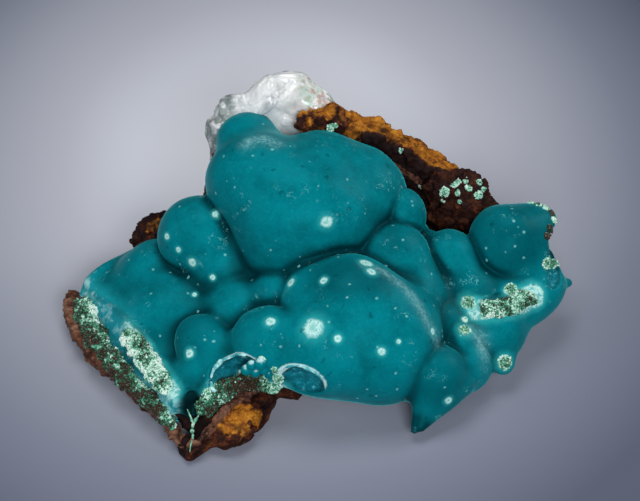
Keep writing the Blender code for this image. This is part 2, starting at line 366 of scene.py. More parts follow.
def finer(grid, rows, columns):
    # the same grid read at more rows and columns, straight between the old ones
    full = padded(grid)
    at = (np.arange(rows) + 1) * (grid["rows"] + 1) / (rows + 1)
    low = np.minimum(at.astype(int), grid["rows"])
    part = (at - low)[:, None, None]
    full = full[low] * (1 - part) + full[low + 1] * part
    at = np.arange(columns) * grid["columns"] / columns
    low = at.astype(int)
    part = (at - low)[None, :, None]
    full = full[:, low] * (1 - part) + full[:, (low + 1) % grid["columns"]] * part
    points = np.concatenate([full.reshape(-1, 3), grid["points"][-2:]]).astype(np.float32)
    return dict(rows=rows, columns=columns, points=points)


def gridFaces(rows, columns):
    # quads between rows, the last column joined to the first, and a fan at each pole
    index = np.arange(rows * columns).reshape(rows, columns)
    right = np.roll(index, -1, 1)
    quads = np.stack([index[:-1], index[1:], right[1:], right[:-1]], -1).reshape(-1, 4)
    start, end = rows * columns, rows * columns + 1
    fans = [np.stack([np.full(columns, start), index[0], right[0]], 1),
            np.stack([np.full(columns, end), right[-1], index[-1]], 1)]
    return [quads, *fans]


def skinPoints(field, part, rounds=24):
    # laid and evened coarse, then twice made finer and evened again
    rows, columns = part["rows"], part["columns"]
    grid = dict(rows=rows // 4, columns=columns // 4)
    grid["points"] = laidGrid(field, part["shell"], rows // 4, columns // 4)
    evened(field, grid, rounds)
    for share, again in ((2, rounds // 3), (1, 2)):
        grid = finer(grid, rows // share, columns // share)
        grid["points"] = settled(field, grid["points"])
        evened(field, grid, again)
    return settled(field, grid["points"])


def normalsOf(field, p):
    slope = slopeOf(field, p)[1]
    return slope / np.maximum(np.linalg.norm(slope, axis=1, keepdims=True), 1e-6)


def volumeOf(points, faces):
    # sum of a . (b x c) / 6 over the triangles
    total = 0.0
    for group in faces:
        for k in range(1, group.shape[1] - 1):
            a, b, c = points[group[:, 0]], points[group[:, k]], points[group[:, k + 1]]
            total += np.einsum("ij,ij->i", a, np.cross(b, c)).sum() / 6
    return total


def addPiece(name, points, faces, material, nodes, marks=None, smooth=True):
    # points in mm; faces a list of index arrays, or a grid's rows and columns; marks are point attributes
    if isinstance(faces, tuple):
        faces = gridFaces(*faces)
    if volumeOf(points - points.mean(0), faces) < 0:
        faces = [group[:, ::-1] for group in faces]
    mesh = bpy.data.meshes.new(name)
    mesh.from_pydata((points * mm).tolist(), [], [f for group in faces for f in group.tolist()])
    mesh.polygons.foreach_set("use_smooth", np.full(len(mesh.polygons), smooth))
    for mark, values in (marks or {}).items():
        layer = mesh.attributes.new(mark, "FLOAT", "POINT")
        layer.data.foreach_set("value", np.asarray(values, np.float32))
    mesh.materials.append(material)
    mesh.update()
    piece = placed(name, mesh)
    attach(piece, "root")
    if nodes:
        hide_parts(*nodes)
    print(f"{name}: {sum(len(g) * (g.shape[1] - 2) for g in faces)} triangles")


# Ropes: a profile carried along a line, and the distance to such lines

def along(line, t):
    # point at t, 0 to 1, on the broken line through the points, its corners rounded by a running mean
    line = np.array(line, float)
    leg = np.concatenate([[0], np.cumsum(np.linalg.norm(np.diff(line, axis=0), axis=1))])
    shifts = [np.clip(t + shift, 0, 1) * leg[-1] for shift in np.linspace(-0.03, 0.03, 5)]
    spots = [np.stack([np.interp(at, leg, line[:, k]) for k in range(3)], 1) for at in shifts]
    return np.mean(spots, axis=0)


def profile(line, t, u, wide, tall, square=1.0, ends=12, slim=1.0):
    # centre, side, up and offset at t of (wide |cos u|^square, tall |sin u|^square), which is drawn in at
    # both ends of the line; slim is its size at the line's end, reached with t^3
    centre = along(line, t)
    forward = along(line, t + 0.01) - along(line, t - 0.01)
    forward /= np.maximum(np.linalg.norm(forward, axis=1, keepdims=True), 1e-6)
    side = np.cross(forward, [0, 0, 1.0])
    side /= np.linalg.norm(side, axis=1, keepdims=True)
    up = np.cross(side, forward)
    taper = (1 - np.abs(2 * t - 1) ** ends) ** 0.5 * (1 + (slim - 1) * t ** 3)
    x, y = (reach * taper * np.sign(wave) * np.abs(wave) ** square
            for reach, wave in ((wide, np.cos(u)), (tall, np.sin(u))))
    return centre, side, up, side * x[:, None] + up * y[:, None]


def carried(line, wide, tall, rows, columns, **shape):
    # the profile's closed grid along the line, and each point's way out
    t = np.repeat((np.arange(rows) + 1) / (rows + 1), columns)
    u = np.tile(np.arange(columns) * 2 * np.pi / columns, rows)
    centre, _, _, body = profile(line, t, u, wide, tall, **shape)
    out = np.concatenate([body, np.zeros((2, 3))])
    points = np.concatenate([centre + body, along(line, np.array([0.0, 1.0]))])
    return points, out / np.maximum(np.linalg.norm(out, axis=1, keepdims=True), 0.3)


def lineGap(p, line, count=60):
    # distance to the nearest of that many points spread along the line
    spots = along(line, np.linspace(0, 1, count)).astype(np.float32)
    gap = np.full(len(p), 1e4, np.float32)
    for spot in spots:
        away = p - spot
        gap = np.minimum(gap, np.einsum("ij,ij->i", away, away))
    return np.sqrt(gap)


# Rosasite crust

crust = dict(
    rows=236, columns=412,
    shell=dict(centre=(-1.5, 4.0, 8.5), outer=(60, 44, 44), core=(30, 11, 1.5), turn=(0, -3, 8)),
    slab=((-25.4, 3.2, 5.0), (14.4, 20.2, 2.6), (0, -3, 31.2)),
    slabTrims=[((0.707, -0.707, 0.0), -2.6), ((-0.79, 0.61, 0.0), 41.2)],
    breakLean=30.0, breakCorner=(-43.8, 12.9, 4.0), slabTurn=31.2,
    bites=[  # blocks of air: the broken right side of the east dome
        ((44.9, 14.5, 14.4), (5.0, 9.0, 3.0), (0, -5, -4)),
        ((46.6, 17.0, 20.0), (5.0, 9.0, 4.0), (0, -5, -4)),
    ],
    spikes=[  # start, end, radius at each, softness: the claw and the right corner
        ((19.0, -12.8, 6.2), (15.3, -19.5, 1.7), (3.6, 0.3), 1.5),
        ((23.0, -11.2, 5.6), (17.0, -18.6, 2.6), (3.0, 0.6), 1.5),
        ((37.0, 9.4, 8.4), (43.8, 11.5, 7.6), (3.8, 0.8), 1.5),
    ],
    floorGap=0.5,
    # places of painted shade: the cleft above the tip, painted nearly black, and the claw, darkened
    cleftShadeMark=((-21.1, -17.4, 5.2), (3.0, 5.0, 4.6)), clawShade=((15.9, -18.6, 2.4), (4.5, 4.5, 4.0)),
    patches=[  # name, centre, reach, rows, columns
        ("claw", (17.2, -16.2, 3.6), 5.0, 96, 150), ("corner", (40.6, 10.6, 8.2), 5.0, 96, 150),
        ("bowls", (-8.6, -15.6, 11.0), 9.0, 150, 240),
    ],
    lobes=[  # centre, radii, softness of the joint with what is before, turn
        ((4, 5, 8.5), (27, 15, 6.5), 3.0), ((27, 8.5, 8), (12, 11, 5.5), 3.0, (0, 0, -20)),
        ((-34, 5.6, 5.4), (9, 7, 3), 2.0, (0, 0, 30)),
        ((-28.5, 14.5, 6.6), (8, 6, 4.6), 3.0, (0, 0, 30)),
        ((-27.5, 13.5, 8.6), (6.5, 6, 4.6), 4.0, (0, 0, 30)),
        ((-25.0, 4.4, 6.8), (8.2, 6.2, 6.0), 4.0, (0, 0, 25)), ((-10.8, 18.5, 25), 9, 0.6),
        ((-5, 15, 24), (10.2, 9.4, 9.4), 3.0), ((-4.4, 11.9, 21.6), 9.6, 5.0),
        ((-5.5, 10.0, 18.5), 7.6, 4.0), ((1.6, 13.2, 21.4), (9.4, 9.2, 9.2), 5.0),
        ((-0.3, 18.9, 23.9), 9.6, 1.6), ((5.6, 18.2, 21.7), 9.4, 1.6), ((-12.9, 25.7, 28.5), 5.2, 2.2),
        ((13.9, 14.6, 20.4), (4.2, 4.4, 5.2), 0.4), ((11.7, 7.7, 16), 7.1, 0.6),
        ((15.5, 3.3, 11.1), (6.8, 7.2, 7.2), 2.5), ((22.3, 10.9, 13.6), 5.4, 0.4),
        ((24.8, 7.5, 9.9), 5.9, 2.0), ((33, 14.4, 14.4), 7.2, 0.5), ((37.6, 17.4, 15.4), 4.5, 2.5),
        ((36.4, 13.4, 11.2), (5.3, 5.8, 6.2), 2.5), ((35.6, 7.4, 8.2), (8, 5.4, 4.8), 2.5, (0, -8, 25)),
        ((29.4, -0.4, 7), (6.2, 5.8, 5.8), 2.5), ((31.3, -5.2, 4.7), 2.2, 1.5),
        ((5.1, -2.9, 14.7), 9.5, 0.6), ((-0.3, -1.6, 14.6), 7.1, 2.0),
        ((8.6, -5, 13), (9.2, 8.6, 8.8), 3.0), ((12.3, -5.7, 11.6), 8.1, 3.0),
        ((4.6, -7.2, 10.7), 9.4, 3.0), ((10.9, -9.5, 8.9), 7.1, 3.0), ((-6.6, 2, 14), 5.3, 0.5),
        ((-8.7, -7.5, 11.1), 6.6, 0.7), ((-0.8, -9.6, 11.7), 7.4, 3.0), ((-20.4, -4, 8.6), 4.6, 0.5),
        ((-20.6, -8.3, 5.8), (4.2, 4.4, 4.4), 1.5), ((-15, -11.8, 7.2), (4.4, 4.2, 4.2), 1.5),
        ((-16.4, -6.4, 8.0), (4.4, 4.4, 4.0), 2.0), ((-13.0, 2.8, 10.0), (7.0, 6.8, 6.0), 1.8),
        ((-21, 14.4, 16), 7.2, 0.5), ((-17.1, 10.4, 13.6), 6.3, 2.0),
        ((18.9, -10.6, 7), (6, 5.6, 5.9), 0.7), ((24.6, -6.6, 5.2), (5, 4.6, 4.6), 1.2),
        ((24.1, -3.8, 7.2), 4.6, 0.6), ((21.4, -1.3, 9), 4.3, 1.0),
    ],
    hollows=[  # broken left and right bowls, druse pocket, druse groove, cleft above the tip
        ((-13.4, -14.6, 9.9), (4.8, 4.2, 4.2), (0, 0, 10)),
        ((-4.0, -18.2, 11.2), (5.0, 3.6, 4.3), (0, 0, -10)),
        ((31.8, 0.9, 13.7), (5.8, 2.7, 2.1), (0, 8, 24)),
        ((-28.9, -8.0, 8.2), (2.2, 9.0, 2.3), (0, 0, 30)),
        ((-21.3, -18.8, 5.8), (1.7, 4.6, 3.6), (0, 0, 0)),
    ],
)


def breakDistance(p, lean, inset):
    # plane through the break's corner, square to the slab's left side and leaning back by lean degrees
    turn, lean = np.radians(crust["slabTurn"]), np.radians(lean)
    way = np.array([-np.cos(turn) * np.cos(lean), -np.sin(turn) * np.cos(lean), np.sin(lean)], np.float32)
    return (p - np.array(crust["breakCorner"], np.float32)) @ way + inset


def crustLobes(p):
    # slab, then every ball in turn by smooth minimum; the whole is bent a little by slow waves
    q = p + 0.5 * np.stack([waves(p, 9.0, 11), waves(p, 9.0, 12), waves(p, 9.0, 13)], 1)
    d = blockDistance(q, *crust["slab"], 2.4)
    for way, offset in crust["slabTrims"]:
        d = smoothMax(d, q @ np.array(way, np.float32) - offset, 1.0)
    for centre, radii, soft, *turn in crust["lobes"]:
        d = smoothMin(d, ballDistance(q, centre, radii, *turn), soft)
    for start, end, radii, soft in crust["spikes"]:
        d = smoothMin(d, spikeDistance(p, start, end, radii), soft)
    return d


def crustField(p):
    # lobes less the break, the hollows and what is under the floor gap, with low swells
    d = crustLobes(p) + 0.1 * waves(p, 3.2, 21)
    d = smoothMax(d, breakDistance(p, crust["breakLean"], 0.6 * waves(p, 4.0, 31)), 0.6)
    for bite in crust["bites"]:
        d = smoothMax(d, -blockDistance(p, *bite) + 0.5 * waves(p, 2.6, 33), 0.4)
    for hollow in crust["hollows"]:
        d = smoothMax(d, -ballDistance(p, *hollow) + 0.2 * waves(p, 1.6, 41), 0.4)
    return smoothMax(d, crust["floorGap"] - p[:, 2], 0.4)


turn = np.radians(crust["slabTurn"])
leftWay = (-float(np.cos(turn)), -float(np.sin(turn)), 0.0)
leftEdge = (leftWay, float(np.dot(leftWay, crust["breakCorner"])))

druseBands = dict(
    # lines in mm; patches are places, their reach and the tint there, from 0, white, to 1, black-brown
    druse_left=dict(
        line=[(-42.5, 9.8, 5.0), (-41.0, 5.2, 5.0), (-38.6, -0.5, 5.0), (-36.2, -4.6, 4.9),
              (-33.9, -8.1, 4.8), (-30.6, -11.6, 4.6), (-27.9, -14.8, 4.3), (-25.5, -17.9, 3.9),
              (-23.9, -19.7, 3.4)],
        wide=1.75, tall=1.3, slim=0.5, rows=260, count=6400, size=0.44, tint=0.6, outer=0.17,
        patches=[
            ((-40.9, 6.2, 5.5), 1.2, 1.2), ((-37.7, 1.7, 5.5), 1.2, 1.3),
            ((-35.7, -3.7, 5.5), 1.0, 1.1), ((-32.4, -7.3, 5.5), 1.2, 1.1),
            ((-27.9, -13.4, 5.5), 1.2, 1.2), ((-39.6, 6.2, 6.0), 1.2, -0.2),
            ((-38.4, 3.7, 6.0), 1.3, -0.2), ((-41.4, 3.4, 6.0), 0.8, 0.05),
            ((-30.0, -11.0, 5.6), 1.2, 0.25), ((-24.8, -18.0, 4.8), 1.0, 0.2),
        ]),
    druse_front=dict(
        line=[(-19.5, -18.1, 4.7), (-18.7, -16.1, 5.7), (-17.6, -14.8, 6.5), (-15.6, -14.3, 7.5),
              (-13.4, -13.6, 7.7), (-11.4, -12.9, 7.7), (-9.4, -13.1, 7.7), (-7.4, -13.6, 7.7),
              (-6.4, -14.4, 7.4)],
        wide=1.5, tall=1.4, rows=180, count=3800, size=0.42, tint=0.68,
        patches=[
            ((-18.4, -15.2, 7.4), 2.0, 0.25), ((-20.0, -18.0, 5.0), 1.4, 0.55),
            ((-12.4, -13.6, 7.6), 2.6, 0.95), ((-7.2, -14.0, 8.0), 1.9, 0.25),
        ]),
    druse_groove=dict(
        line=[(-33.5, -0.2, 6.9), (-31.5, -3.5, 7.0), (-29.2, -7.6, 7.0), (-26.9, -11.8, 6.9),
              (-25.2, -14.6, 6.5)],
        wide=1.6, tall=0.9, rows=140, count=3200, size=0.4, tint=0.44, lace=0.36,
        patches=[((-33.0, -0.6, 7.6), 1.0, 0.25), ((-25.4, -14.4, 7.0), 1.0, 0.15)]),
    druse_pocket=dict(
        line=[(27.2, -0.8, 12.9), (29.6, -0.7, 12.7), (32.0, 0.5, 12.4), (34.6, 2.0, 12.1),
              (36.8, 3.6, 11.9)],
        wide=1.8, tall=1.1, rows=130, count=2800, size=0.38, tint=0.3,
        patches=[
            ((31.4, 1.3, 13.2), 1.1, 1.0), ((36.4, 3.2, 12.8), 0.9, 0.2),
            ((27.4, -0.4, 13.4), 0.8, 0.15),
        ]),
)

crestHighlights = [  # lines of painted highlight along the crests, and their strength
    ([(7.7, -1.4, 24.1), (10.1, -1.5, 23.2), (13.4, -3.5, 20.9), (15.9, -5.5, 19.4), (18.3, -8, 17.2),
      (20.1, -9, 13.5)], 0.8),
    ([(25.2, -4.4, 12), (27.2, -5.6, 11), (27.6, -7.0, 9), (27.0, -8.4, 7)], 0.8),
    ([(-12.7, 17.9, 34.2), (-9.8, 18.8, 34.4), (-7.4, 17.6, 34.0)], 0.8),
]


def struck(field, spots):
    # each line from the camera through a spot, followed from 12 mm before the spot to the field
    spots = np.array(spots, float)
    way = spots - eye
    way /= np.linalg.norm(way, axis=1, keepdims=True)
    p = (spots - 12 * way).astype(np.float32)
    for _ in range(90):
        p = (p + way * np.clip(field(p) * 0.7, 0, 1)[:, None]).astype(np.float32)
    return p


paintedShades = [  # place and reach of the patches of painted shade on the crust
    ((33.0, 12.6, 16.0), 9.0), ((18.9, -12.0, 7.0), 8.0), ((5.0, -4.0, 23.0), (10.0, 6.0, 5.0)),
    ((-21.0, -4.5, 9.0), 6.0), ((12.5, 5.0, 27.0), 7.0), ((-4.0, 9.0, 20.0), (9.0, 6.0, 8.0)),
]

rosettes = [  # place and radius of the white rosettes on the lobes
    ((1.1, 4.5, 28), 1.2), ((-1.1, -11.8, 19.2), 2.0), ((2.9, -13.5, 18.4), 0.8),
    ((-8.2, -9, 17.9), 1.0), ((-4.9, -2.3, 20.5), 1.0), ((0.6, -4.8, 23.3), 0.8),
    ((7.7, -1.4, 24.1), 1.3), ((8.5, -3.4, 24), 1.0), ((10.1, -14.4, 16.3), 0.8),
    ((12.9, -12.8, 17), 0.5), ((18.7, -9.3, 15.9), 0.7), ((21.4, -16.2, 6.6), 0.8),
    ((-17.9, 12.2, 22.9), 0.8), ((-26.4, 10.4, 19.5), 0.7), ((-24.3, 8, 18.6), 0.6),
    ((-21.9, 6.4, 17.1), 0.9), ((-18.4, 4.1, 15.7), 0.6), ((-21.5, 2.4, 13.3), 0.5),
    ((-21.9, -9.0, 10.5), 0.9), ((25.3, 0.4, 13.3), 1.5), ((24.4, -5.0, 12.1), 1.2),
    ((24.5, -3.2, 12.7), 0.7), ((31.7, -5.6, 4.8), 1.5), ((32.3, 3.4, 13.2), 0.9),
]


def crustFinish():
    f = Finish("rosasite satin", Specular_IOR_Level=0.14, Specular_Tint=(0.05, 0.8, 0.9, 1),
               Sheen_Weight=0.5, Sheen_Roughness=0.25, Sheen_Tint=(0.05, 0.8, 0.85, 1),
               Subsurface_Weight=0.05, Subsurface_Scale=0.0012, Subsurface_Radius=(0.2, 1.0, 1.0))
    crease, broken = f.attribute("crease"), f.attribute("broken")
    slow, mid, fine = f.noise(9.0, 4, 0.55, 0.5), f.noise(2.2, 4, 0.6), f.noise(0.5, 3)
    f.colour = f.mix(slow.step(0.3, 0.7), (0.0, 0.125, 0.152), (0.0, 0.18, 0.22))
    f.paint(mid.step(0.4, 0.75) * 0.4, (0.0, 0.225, 0.265))
    f.paint(mid.step(0.45, 0.25) * 0.35, (0.0, 0.1, 0.13))
    f.paint(fine.step(0.45, 0.8) * 0.16, (0.01, 0.36, 0.38))
    # painted shade: darker in the creases between lobes and on the claw
    f.paint(crease.step(0.05, 0.62) * 0.9, (0.0, 0.01, 0.015))
    # painted shade: darker in the listed patches
    f.paint(f.attribute("shade") * 0.6, (0.0, 0.05, 0.066))
    # paler towards the left break and round the druse, with white blobs beside it
    left = f.planeGap(leftEdge)
    f.paint((left + (slow - 0.5) * 5.0).step(-5.5, -0.5) * 0.5, (0.02, 0.4, 0.45))
    blob = f.noise(2.0, 3, 0.5, 0.4).step(0.52, 0.6) * (left + (mid - 0.5) * 3.0).step(-3.2, -1.0)
    f.paint(blob * 0.55, (0.55, 0.85, 0.82))
    gap = f.attribute("druseGap") + (mid - 0.5) * 1.6
    f.paint(gap.step(1.6, 0.1) * 0.5, (0.05, 0.5, 0.5))
    crumbs = f.noise(0.6, 4, 0.6).step(0.4, 0.55)
    f.paint((gap + (fine - 0.5) * 0.8).step(0.5, -0.1) * (crumbs * 0.6 + 0.25), (0.5, 0.82, 0.76))
    # painted highlight: thin pale lines along some crests, broken up by noise
    highlightBreakup = f.noise(0.7, 4, 0.65, 0.6).step(0.42, 0.62) * 0.7 + 0.3
    f.paint(f.attribute("bloom") * highlightBreakup * 0.6, (0.35, 0.68, 0.7))
    # rosettes: nearest edge of any round spot, roughened; a pale halo, a white felt and a greenish eye
    edge = None
    for spot, (_, radius) in zip(struck(crustField, [s[0] for s in rosettes]), rosettes):
        gap = (f.away(tuple(float(c) for c in spot)) - radius) / radius
        edge = gap if edge is None else edge.least(gap)
    grain = f.noise(0.35, 3)
    edge = edge + (f.noise(0.9, 4) - 0.5) * 0.5
    halo, felt = edge.step(0.9, -0.4), edge.step(0.0, -0.45)
    f.paint(halo * 0.5, (0.03, 0.42, 0.42))
    f.paint(felt * grain.step(0.2, 0.55) * 0.85, (0.55, 0.86, 0.82))
    f.paint(edge.step(-0.6, -0.85) * 0.45, (0.05, 0.4, 0.34))
    # small pale flecks: the middles of a few scattered cells
    chance = f.node("ShaderNodeSeparateColor", {}, {0: f.cells(1.6, output=1)})
    fleck = (f.cells(1.6) + (fine - 0.5) * 0.4).step(0.2, 0.08) * chance.step(0.72, 0.78)
    f.paint(fleck * 0.5, (0.25, 0.66, 0.66))
    pit = (f.cells(2.7) + (fine - 0.5) * 0.5).step(0.2, 0.08) * chance.step(0.4, 0.3)
    f.paint(pit * 0.5, (0.0, 0.04, 0.05))
    # scratches: thin level lines of a warped noise, kept in a few places only
    level = f.noise(1.3, 2, 0.5, 1.2) - 0.5
    some = f.noise(1.6, 2).step(0.52, 0.6) * f.noise(6.0, 2).step(0.53, 0.64)
    f.paint(level.size().step(0.022, 0.006) * some * 0.45, (0.2, 0.62, 0.64))
    # broken faces: bluer, softly streaked; their rims nearly white
    streak = f.noise(0.8, 3, 0.5, 0.6)
    f.paint(broken * (streak.step(0.35, 0.7) * 0.5 + 0.4), (0.01, 0.26, 0.34))
    f.paint(broken * streak.step(0.6, 0.72) * 0.6, (0.2, 0.62, 0.68))
    rim = f.attribute("rim") + (fine - 0.5) * 0.5
    f.paint(rim.step(0.35, 0.75) * 0.85, (0.6, 0.88, 0.88))
    # painted shade: the cleft above the tip nearly black
    f.paint(f.attribute("cleft"), (0.002, 0.004, 0.004))
    rough = 0.3 + mid * 0.16 + fine * 0.1 + felt * 0.25
    height = fine * 0.25 + mid * 0.3 + f.noise(0.16, 2) * 0.2
    return f.feed(Roughness=rough, Normal=f.bump(height, 0.35, 0.12))


def nearBall(p, centre, reach):
    # 1 within half the reach of the centre, falling evenly to 0 at the reach
    return np.clip(2 - 2 * np.linalg.norm((p - centre) / reach, axis=1), 0, 1)


def shelter(field, p, normals):
    # 1 - 2 mean(f(p + w r) / r) over directions w on the normal's side and reaches r:
    # 0 on a flat face, less on a dome, towards 1 in the creases between lobes, where it sets the painted
    # shade
    k = np.arange(11) + 0.5
    rise, spin = 1 - 2 * k / 11, k * 2.399963
    ways = np.stack([np.sqrt(1 - rise ** 2) * np.cos(spin), np.sqrt(1 - rise ** 2) * np.sin(spin), rise], 1)
    total = np.zeros(len(p), np.float32)
    for way in ways.astype(np.float32):
        turned = way * np.sign(normals @ way)[:, None]
        for reach in (1.4, 4.0):
            total += np.clip(field(p + turned * reach) / reach, 0, 1)
    return np.clip(1 - total / len(ways), 0, 1)


def makeSkin(name, field, part, rounds=24):
    points = skinPoints(field, part, rounds)
    addPiece(name, points, (part["rows"], part["columns"]), satin, ["rosasite_crust"],
             crustMarks(points))


def crustMarks(p):
    normals = normalsOf(crustField, p)
    lobes = crustLobes(p)
    bowls = np.min([np.abs(ballDistance(p, *hollow)) for hollow in crust["hollows"][:2]], axis=0)
    # places of painted shade: the cleft above the tip and the claw
    cleft, claw = nearBall(p, *crust["cleftShadeMark"]), nearBall(p, *crust["clawShade"])
    # patches of painted shade
    shade = np.max([nearBall(p, place, reach) for place, reach in paintedShades], axis=0)
    edge = np.exp(-(np.maximum(np.abs(lobes), bowls) / 0.5) ** 2)
    return dict(
        # painted shade in the creases between lobes and on the claw
        crease=np.maximum(shelter(crustLobes, p, normals), 0.5 * claw), cleft=cleft, shade=shade,
        broken=(1 - cleft) * np.clip(-lobes / 0.8 - 0.3, 0, 1),
        # painted highlight along the crest lines
        bloom=np.max([part * np.exp(-(lineGap(p, line) / 1.1) ** 2) for line, part in crestHighlights], axis=0),
        rim=edge * np.clip((p[:, 2] - 9.5) / 2, 0.1, 1),
        druseGap=np.min([lineGap(p, band["line"]) - band["wide"] for band in druseBands.values()], axis=0))


satin = crustFinish()
makeSkin("rosasite_skin", crustField, crust)
for name, centre, reach, rows, columns in crust["patches"]:
    # the same field once more, a hair lower, where the skin's grid is too wide for a point or an edge
    makeSkin("rosasite_" + name,
             lambda p: smoothMax(crustField(p) + 0.02, ballDistance(p, centre, reach), 0.4),
             dict(rows=rows, columns=columns, shell=dict(centre=centre, outer=reach * 1.4, core=0.6)), 6)


# Limonite matrix: slab, ridge and knob

slabRock = dict(
    rows=200, columns=400,
    shell=dict(centre=(-3, 7, 3.2), outer=(62, 44, 30), core=(32, 12, 1), turn=(0, 0, 12)),
    blocks=[  # centre, half sizes, turn
        ((-23.4, 0.6, 2.1), (13.6, 21.8, 1.9), (0, -1, 31.2)),
        ((-19.6, -14.6, 2.3), (6.5, 7.5, 2.2), (0, 0, 42)),
        ((-11.5, -10.8, 1.6), (5, 4.6, 3.6), (42, 0, 36)),
        ((0, 13, 5.5), (21, 19, 5.5), (0, 0, -4)),
        ((24, 16, 5), (9, 9, 5), (0, 0, -15)),
        ((-8.4, 26.5, 12), (10.5, 6, 13), (0, 0, 6)),
        ((-6.5, -11.5, 2.6), (2.4, 2.8, 2.2), (0, 0, 20)),
        ((-20.4, -20.6, 1.5), (4.2, 2.4, 1.4), (0, 0, 42)),
    ],
    balls=[((-17.2, 24, 16.0), (3.4, 4.4, 8.0), (0, 8, 0))],
    notch=((-21.3, -18.6, 6.2), (1.8, 4.4, 4.2), (0, 0, 0)),
    corner=((-0.6, -19.4, 2.0), (9.4, 7.6, 9.0), (0, 0, -17)),  # air to the right of the tip
    undercut=24.0, undercutInset=0.9,
)
foot = dict(
    rows=150, columns=240,
    shell=dict(centre=(-17.4, -18.6, 2.0), outer=(10, 8, 7), core=(3.8, 0.6, 0.5), turn=(0, 0, 42)),
    blocks=[
        ((-15.6, -17.6, 1.7), (3.0, 3.4, 2.0), (0, 0, 36)),
        ((-19.4, -20.2, 1.5), (4.7, 1.7, 1.6), (0, -8, 42)),
    ],
    balls=[((-13.8, -17.6, 1.6), (2.8, 3.2, 2.4), (0, 0, 30))],
)
spur = dict(
    rows=100, columns=150,
    shell=dict(centre=(-29.4, 21.4, 7.6), outer=(10, 8, 12), core=(1.5, 0.4, 2.0), turn=(0, -12, 31)),
    blocks=[((-29.5, 21.4, 6.2), (3.6, 2.2, 5.2), (0, -12, 31)),
            ((-28.2, 21.9, 9.4), (3.2, 2.0, 3.6), (0, 20, 31))],
    balls=[((-29.6, 21.0, 10.8), (2.6, 2.1, 2.6), (0, -15, 31))],
)
lumps = dict(
    rows=90, columns=130,
    shell=dict(centre=(-0.2, 26.6, 31.4), outer=(8, 5, 6), core=(2.4, 0.3, 0.3)),
    blocks=[],
    balls=[((-2.0, 26.3, 31.7), (2.3, 2.0, 1.9)), ((1.4, 26.8, 31.4), (3.0, 2.3, 2.2))],
)
ridge = dict(
    rows=200, columns=300,
    shell=dict(centre=(11, 28.4, 12), outer=(34, 18, 36), core=(11, 0.4, 7), turn=(0, 18, -8)),
    blocks=[
        ((3.4, 29.9, 15.0), (5.2, 2.5, 14.7), (0, 10, -6)),
        ((9.4, 29.3, 13.6), (5, 2.5, 13.2), (0, 16, -10)),
        ((15.6, 28.2, 11.8), (5, 2.5, 11.4), (0, 24, -14)),
        ((21.8, 26.2, 9.4), (5.4, 3.1, 9.0), (0, 28, -20)),
        ((3, 30.8, 7), (16, 3.4, 6), (8, 4, -8)),
    ],
    balls=[],
)
knob = dict(
    rows=140, columns=200,
    shell=dict(centre=(24.6, 23.6, 13.5), outer=(14, 12, 16), core=(2.5, 1, 2), turn=(0, 35, -20)),
    blocks=[],
    balls=[
        ((25.8, 23.2, 14), (6.6, 4.6, 5.6), (0, 35, -20)),
        ((21.6, 24.6, 18.2), (3.6, 3.2, 2.8), (0, 20, 0)),
        ((25.8, 24.0, 18.4), (3.8, 3.2, 3.4), (0, 0, 0)),
    ],
)


def rockField(part):
    # blocks and balls by smooth minimum, flat at the floor; bent by slow waves, more so at the back
    def field(p):
        d = np.full(len(p), 99.0, np.float32)
        floorGap = 0.1 - p[:, 2]
        bend = np.stack([waves(p, 7.0, 43), waves(p, 7.0, 44), waves(p, 7.0, 45)], 1)
        p = p + bend * np.clip(p[:, 2:] / 4, 0, 1) * (1.1 + 1.3 * np.clip(p[:, 1:2] / 3 - 9.7, 0, 1))
        for centre, half, turn in part["blocks"]:
            d = smoothMin(d, blockDistance(p, centre, half, turn, 1.0), 2.0)
        for ball in part["balls"]:
            d = smoothMin(d, ballDistance(p, *ball), 1.2)
        if "notch" in part:
            d = smoothMax(d, -ballDistance(p, *part["notch"]), 0.8)
            d = smoothMax(d, -blockDistance(p, *part["corner"]), 0.8)
            d = smoothMax(d, breakDistance(p, -part["undercut"], part["undercutInset"]), 0.8)
        return smoothMax(d, floorGap, 0.4)
    return field


def rockFinish():
    f = Finish("limonite earth", Specular_IOR_Level=0.15)
    ochre, deep, rind = f.attribute("ochre"), f.attribute("deep"), f.attribute("rind")
    mid, fine = f.noise(2.6, 5, 0.65), f.noise(0.6, 4, 0.65)
    both = mid * 0.6 + fine * 0.4
    f.colour = f.ramp(both, [(0.32, (0.006, 0.002, 0.002)), (0.47, (0.03, 0.007, 0.004)),
                             (0.56, (0.1, 0.026, 0.008)), (0.7, (0.22, 0.075, 0.02))])
    gold = f.ramp(both, [(0.34, (0.03, 0.007, 0.002)), (0.44, (0.16, 0.045, 0.006)),
                         (0.54, (0.4, 0.145, 0.01)), (0.68, (0.66, 0.33, 0.05))])
    taupe = f.ramp(both, [(0.36, (0.02, 0.008, 0.006)), (0.46, (0.1, 0.04, 0.025)),
                          (0.54, (0.19, 0.09, 0.055)), (0.68, (0.3, 0.18, 0.12))])
    f.paint((ochre + (mid - 0.5) * 1.5).step(0.35, 0.6), gold)
    f.paint(rind, taupe)
    # darker mottling on the spur and knob, and painted shade on the ridge's front face and round the notch
    # at the tip
    f.paint(f.attribute("dark") * 0.92, (0.007, 0.002, 0.003))
    # painted shade in the low places of the relief
    f.paint(deep.step(0.45, 0.95) * 0.8, (0.004, 0.0015, 0.002))
    height = fine * 0.6 + f.noise(0.2, 3) * 0.4
    return f.feed(Roughness=0.5 + fine * 0.35, Normal=f.bump(height, 0.9, 0.4))


def rockLift(p, rough):
    # crests, chips and grain, in mm along the normal
    crests, chips, grain = ridged(p, 4.0, 4, 51), chipped(p, 1.9, 1.0, 61), layered(p, 0.9, 2, 71)
    return rough * (0.5 * crests + 0.55 * chips + 0.35 * grain - 0.25)


